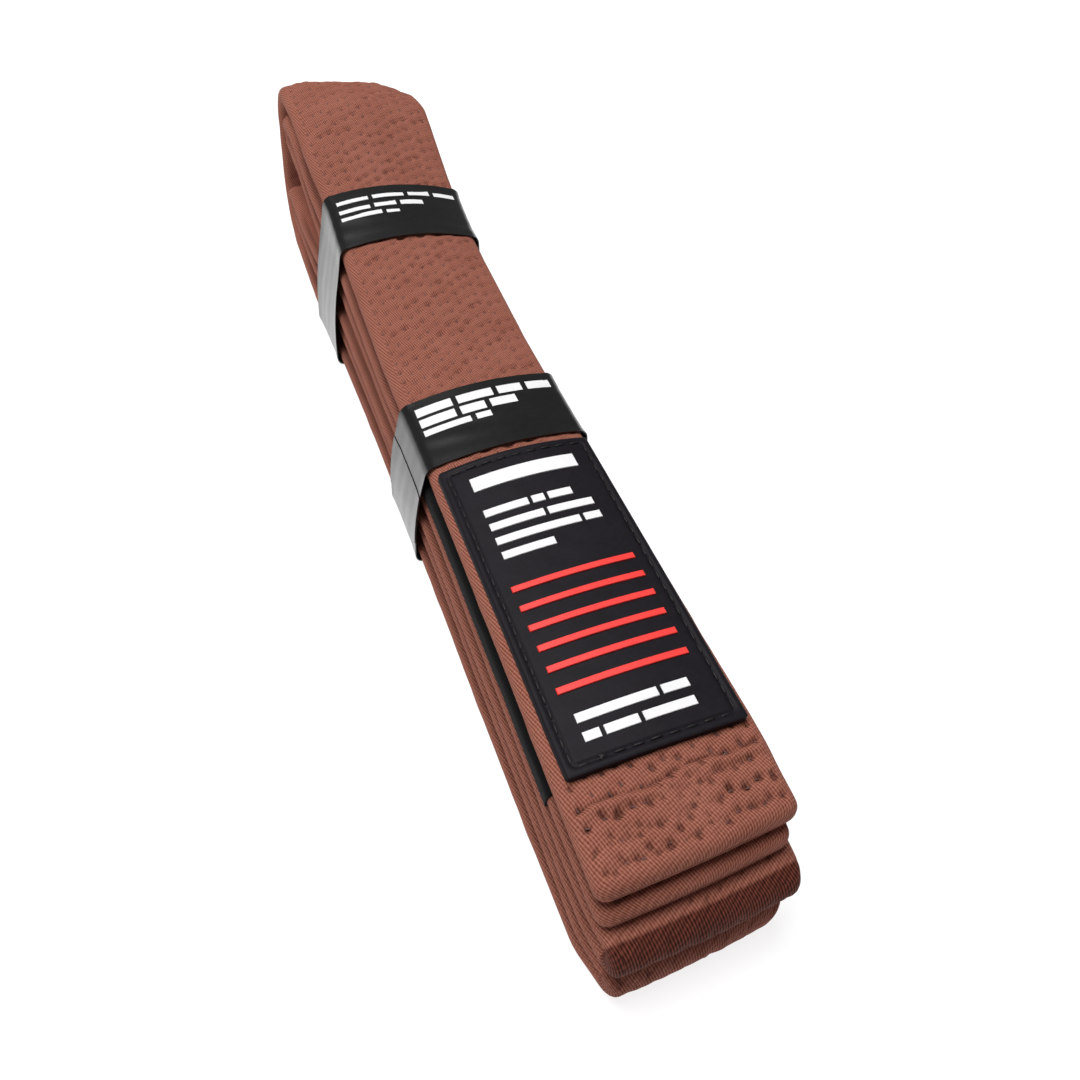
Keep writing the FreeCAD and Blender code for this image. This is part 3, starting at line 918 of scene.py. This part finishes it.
def make_patch_base():
    x, y = patch_outline()
    groove = rounded_distance(x, y, PATCH_HALF_X - GROOVE_INSET, PATCH_HALF_Y - GROOVE_INSET, 1.0)
    edge = -rounded_distance(x, y, PATCH_HALF_X, PATCH_HALF_Y, PATCH_CORNER)
    height = -GROOVE_DEPTH * np.exp(-(groove / GROOVE_WIDTH) ** 2)
    height -= 0.16 * np.clip(1 - edge / 0.4, 0, 1) ** 2
    # The front corners curl up a little
    lift = 0.004 * (np.clip(-y - PATCH_HALF_Y + 9.0, 0, None)
                    * np.clip(np.abs(x) - PATCH_HALF_X + 9.0, 0, None))
    height += lift + 0.025 * ripple(x * 1.3, y * 0.9, 8.0)
    y = y + PATCH_MIDDLE
    x = x * patch_spread(y)
    top = np.stack([x, y, patch_high[2] + height], -1).reshape(-1, 3)
    bottom = np.stack([x, y, patch_low[2] + lift - 0.1], -1).reshape(-1, 3)
    base = make_object("patch_rubber_base", np.vstack([top, bottom]), shell_faces(*x.shape))
    finish_piece(base, "patch_rubber", ["patch_base"], "patch_end", bends=True)


def make_patch_stitches():
    half_x = PATCH_HALF_X - GROOVE_INSET
    half_y = PATCH_HALF_Y - GROOVE_INSET
    builder = Builder()
    floor = patch_high[2] - GROOVE_DEPTH + 0.13

    def stitch(x, y, along, side):
        y = y + PATCH_MIDDLE
        centre = np.array([x * patch_spread(y), y, floor]) + side * rng.uniform(-0.08, 0.08)
        builder.add(*capsule(centre, along, side, Z_AXIS, 2.5, 0.30))

    for x in np.linspace(-half_x + 1.9, half_x - 1.9, 9):
        for y in (-half_y, half_y):
            stitch(x, y, X_AXIS, Y_AXIS)
    for y in np.linspace(-half_y + 1.9, half_y - 1.9, 23):
        for x in (-half_x, half_x):
            stitch(x, y, Y_AXIS, X_AXIS)
    knot = np.array([-half_x + 5.0, -half_y + PATCH_MIDDLE, floor + 0.25])
    for angle in (0.4, 1.3, 2.4):
        builder.add(*capsule(knot, *turned(angle, 0.15), Z_AXIS, 1.6, 0.3))
    stitches = builder.build("patch_stitches")
    finish_piece(stitches, "black_thread", ["patch_edge_stitching"], "patch_end", bends=True)


STRIPE_COUNT = 6
STRIPE_DEPTH = 1.4
MARK_LEFT = -12.0
# (y, depth, word lengths) of each line of plain white bars
MARK_LINES = ((-33.2, 3.7, (24.0,)), (-41.4, 1.9, (9.8, 2.8, 5.4)), (-45.2, 1.9, (12.0, 10.2)),
              (-49.0, 1.9, (18.6, 3.8)), (-52.8, 1.9, (11.4,)), (-91.4, 1.9, (16.0, 5.4)),
              (-95.2, 1.9, (3.2, 6.6, 10.4)))


def make_patch_relief():
    """The raised red stripes and the raised white bars that stand for lettering."""
    sunk = patch_high[2] - 0.25
    stripes_low, stripes_high = limits("patch_red_stripes")
    pitch = (stripes_high[1] - stripes_low[1] - STRIPE_DEPTH) / (STRIPE_COUNT - 1)
    builder = Builder()
    for number in range(STRIPE_COUNT):
        y = stripes_low[1] + pitch * number
        spread = patch_spread(y)
        builder.add(*bar_solid((stripes_low[0] * spread, stripes_high[0] * spread),
                               (y, y + STRIPE_DEPTH), sunk, stripes_high[2], 0.12))
    red = builder.build("patch_red_bars", smooth=False)
    finish_piece(red, "red_rubber", ["patch_red_stripes"], "patch_end")

    builder = Builder()
    top = limits("patch_white_marks")[1][2]
    for y, depth, words in MARK_LINES:
        spread = patch_spread(y)
        x = MARK_LEFT
        for word in words:
            builder.add(*bar_solid((x * spread, (x + word) * spread),
                                   (y - depth / 2, y + depth / 2), sunk, top, 0.1))
            x += word + depth * 0.45
    white = builder.build("patch_white_bars", smooth=False)
    finish_piece(white, "white_rubber", ["patch_white_marks"], "patch_end", bends=True)


# ------------ the rank bar
def make_rank_bar():
    z = front_z[BAR_LEG]
    near_y = sleeve_low[1]
    line = Line([(-18.0, z, 0, 0.0), (-60.0, z + 0.001, 20.0, 0.0), (near_y, z, 0, 0.0)])
    sleeve = strip("rank_bar", line, line.steps(0.7), across=40, under=40, radius=1.4,
                   half_width=HALF_WIDTH + 0.35, half_thick=HALF_THICK + 0.26)
    finish_piece(sleeve, "black_cotton", ["rank_bar_sleeve"], "bar_end", bends=True)

    builder = Builder()
    for y in (near_y + 1.6, near_y + 3.4):
        for x in np.arange(-HALF_WIDTH + 2.0, HALF_WIDTH - 1.5, 2.4):
            centre = np.array([x, y, z + HALF_THICK + 0.15])
            builder.add(*capsule(centre, X_AXIS, Y_AXIS, Z_AXIS, 1.9, 0.2))
    stitches = builder.build("rank_bar_stitches")
    finish_piece(stitches, "black_thread", ["rank_bar_stitching"], "bar_end")


# ------------ the paper bands
BAND_STEPS = 26
PAPER = 0.25
BAND_GAP = 0.26              # between the cloth and the paper on the bundle's top


def band_top(y):
    """Height of the top leg's face at y, away from the looped end."""
    rise = (band_z[PATCH_LEG] - front_z[PATCH_LEG]) / (BAND_BEND_Y - FLAT_END_Y)
    return front_z[PATCH_LEG] + HALF_THICK + max(0.0, y - FLAT_END_Y) * rise


def band_outline(y):
    """The band's path round the bundle at y: points from the top left corner clockwise."""
    top = band_top(y) + BAND_GAP
    # (x, z, radius) of each corner
    corners = [(-20.6, top, 2.0), (20.6, top, 2.0), (21.0, 0.16, 1.4), (-20.8, 0.16, 2.6)]
    points = []
    for i in range(4):
        before, here, after = (np.array(corners[(i + d) % 4][:2]) for d in (-1, 0, 1))
        radius = corners[i][2]
        into = unit(here - before)
        out = unit(after - here)
        start = here - into * radius
        end = here + out * radius
        for t in np.linspace(0, 1, 7):
            points.append((1 - t) ** 2 * start + 2 * t * (1 - t) * here + t * t * end)
        following = after - out * corners[(i + 1) % 4][2]
        for t in np.linspace(0, 1, 30)[1:-1]:
            points.append(end + (following - end) * t)
    return np.array(points)


def band_paper_path(y, far, near, seed):
    """Inner and outer points of the band at y, with the paper's slight unevenness."""
    inner = band_outline(y)
    middle = inner.mean(axis=0)
    tangent = np.roll(inner, -1, axis=0) - np.roll(inner, 1, axis=0)
    normal = np.stack([-tangent[:, 1], tangent[:, 0]], -1)
    normal /= np.linalg.norm(normal, axis=1)[:, None]
    normal *= np.sign(((inner - middle) * normal).sum(axis=1))[:, None]
    share = (y - near) / (far - near)
    flare = 0.25 * (2 * share - 1) ** 4
    x, z = inner.T
    side = np.abs(x) > 19.0
    bow = np.where(x < 0, 0.5, 0.1) * np.sin(np.clip(z / 30.0, 0, 1) * math.pi) * side
    wave = 0.06 * ripple(x * 0.6 + z, y, seed)
    out = (flare * np.where(side, 1.0, 0.25) + bow + wave + 0.1)[:, None]
    base = inner + normal * out
    base[:, 1] = np.maximum(base[:, 1], 0.03)
    outer = base + normal * PAPER
    outer[:, 1] = np.maximum(outer[:, 1], 0.0)
    return base, outer


def make_band(prefix, seed, tab_side):
    low, high = limits(prefix + "_paper")
    near = low[1]
    far = high[1]
    ys = np.linspace(near, far, BAND_STEPS)
    x, z = np.moveaxis([band_paper_path(y, far, near, seed) for y in ys], -1, 0)
    grids = np.stack([x, np.broadcast_to(ys[:, None, None], x.shape), z], -1)
    inside = grids[:, 0]
    outside = grids[:, 1]
    points = np.vstack([outside.reshape(-1, 3), inside.reshape(-1, 3)])
    faces = shell_faces(BAND_STEPS, outside.shape[1], closed=True)
    band = make_object(prefix + "_strip", points, faces)
    finish_piece(band, "black_paper", [prefix + "_paper"], prefix)
    make_band_tab(prefix, outside, tab_side)
    make_band_print(prefix, near, far, seed)


def make_band_tab(prefix, outside, side):
    """The glued end of the strip: a second layer low on one side, and its glue."""
    low, high = limits(prefix + "_tab")
    row = outside[0]
    x, _, z = row.T
    chosen = np.flatnonzero((x * side > 17.0) & (z > low[2]) & (z < high[2]))
    chosen = chosen[np.argsort(z[chosen])]
    make_layer(prefix, "glue", "glue", outside[1:-1, chosen[1:-1]], side * 0.004, side * 0.02)
    grid = outside[:, chosen]
    tab = make_layer(prefix, "tab", "black_paper", grid, side * 0.03, side * 0.14)


def make_layer(prefix, part, slot, grid, lift, thick):
    """A thin closed layer over a grid of points on a band's side, lift away from it."""
    inner = grid + X_AXIS * lift
    outer = inner + X_AXIS * thick
    points = np.vstack([outer.reshape(-1, 3), inner.reshape(-1, 3)])
    faces = shell_faces(*grid.shape[:2])
    if thick > 0:
        faces = [face[::-1] for face in faces]
    layer = make_object("%s_%s_layer" % (prefix, part), points, faces, smooth=False)
    finish_piece(layer, slot, ["%s_%s" % (prefix, part)], prefix)
    return layer


PRINT_LEFT = -18.2
# (y from the band's middle, depth, word lengths) of each line of plain white bars
PRINT_LINES = ((6.6, 2.6, (9.6, 9.6, 6.6, 6.6)), (3.0, 2.6, (9.4, 6.6, 7.0)),
               (-0.2, 1.8, (12.4, 4.0)))


def make_band_print(prefix, near, far, seed):
    """Lines of plain white bars on the band's top."""
    builder = Builder()
    for step, depth, words in PRINT_LINES:
        x = PRINT_LEFT
        y = (near + far) / 2 + step
        across, height = band_paper_path(y, far, near, seed)[1].T
        for word in words:
            ledge = height[(height > 20) & (across > x) & (across < x + word)].max()
            builder.add(*bar_solid((x, x + word), (y - depth / 2, y + depth / 2),
                                   -0.08, 0.05, 0.02, ledge, step=1.6))
            x += word + 1.4
    marks = builder.build(prefix + "_print_bars", smooth=False)
    finish_piece(marks, "white_ink", [prefix + "_print"], prefix)


# ------------ the stage
CAMERA_PLACE = (-55.2, -163.9, 179.2)
CAMERA_TARGET = (-2.4, -49.3, 30.0)
CAMERA_ROLL = 4.8
CAMERA_LENS = 31.67
FLOOR_GLOW = 0.82            # keeps the floor white where the lamps are weak
WORLD_STRENGTH = 0.17


def aimed(place, target):
    """The matrix of a camera or lamp at a place, looking at a target."""
    heading = Vector(target) - Vector(place)
    turn = heading.to_track_quat("-Z", "Y").to_matrix().to_4x4()
    return Matrix.Translation(Vector(place)) @ turn


def make_camera():
    camera = add_object("camera", bpy.data.cameras.new("camera"))
    camera.data.sensor_width = 36.0
    camera.data.lens = CAMERA_LENS
    camera.data.clip_start = 0.005
    roll = Matrix.Rotation(math.radians(CAMERA_ROLL), 4, "Z")
    camera.matrix_world = aimed(Vector(CAMERA_PLACE) * MM, Vector(CAMERA_TARGET) * MM) @ roll
    bpy.context.scene.camera = camera


def make_light(name, place, size, power):
    """A soft round lamp aimed at the middle of the bundle."""
    light = bpy.data.lights.new(name, "AREA")
    light.shape = "DISK"
    light.size = size
    light.energy = power
    add_object(name, light).matrix_world = aimed(place, (0, 0, 0))


def make_floor():
    mesh = bpy.data.meshes.new("floor")
    mesh.from_pydata([(-4, -4, 0), (4, -4, 0), (4, 4, 0), (-4, 4, 0)], [], [(0, 1, 2, 3)])
    floor = add_object("floor", mesh)
    material, _, shader = new_material("floor_white")
    set_values(shader, Base_Color=(0.3, 0.3, 0.3, 1), Roughness=0.9,
               Emission_Color=(1, 1, 1, 1), Emission_Strength=FLOOR_GLOW)
    floor.data.materials.append(material)


def make_world():
    world = bpy.data.worlds.new("studio")
    world.use_nodes = True
    set_values(world.node_tree.nodes["Background"], Color=(1, 1, 1, 1), Strength=WORLD_STRENGTH)
    bpy.context.scene.world = world
    bpy.context.scene.view_settings.view_transform = "Standard"


make_camera()
make_floor()
make_world()
make_light("overhead", (-0.16, 0.20, 1.05), 0.75, 12.4)
make_light("left", (-1.0, 0.1, 0.6), 0.5, 1.0)
make_belt()
make_end("patch_end", PATCH_LEG, patch_end_low[1] - 0.7, "patch_end")
make_end("bar_end", BAR_LEG, bar_end_low[1] - 0.5, "bar_end")
make_rank_bar()
make_patch_base()
make_patch_stitches()
make_patch_relief()
make_band("front_band", 2.0, -1)
make_band("rear_band", 6.0, 1)
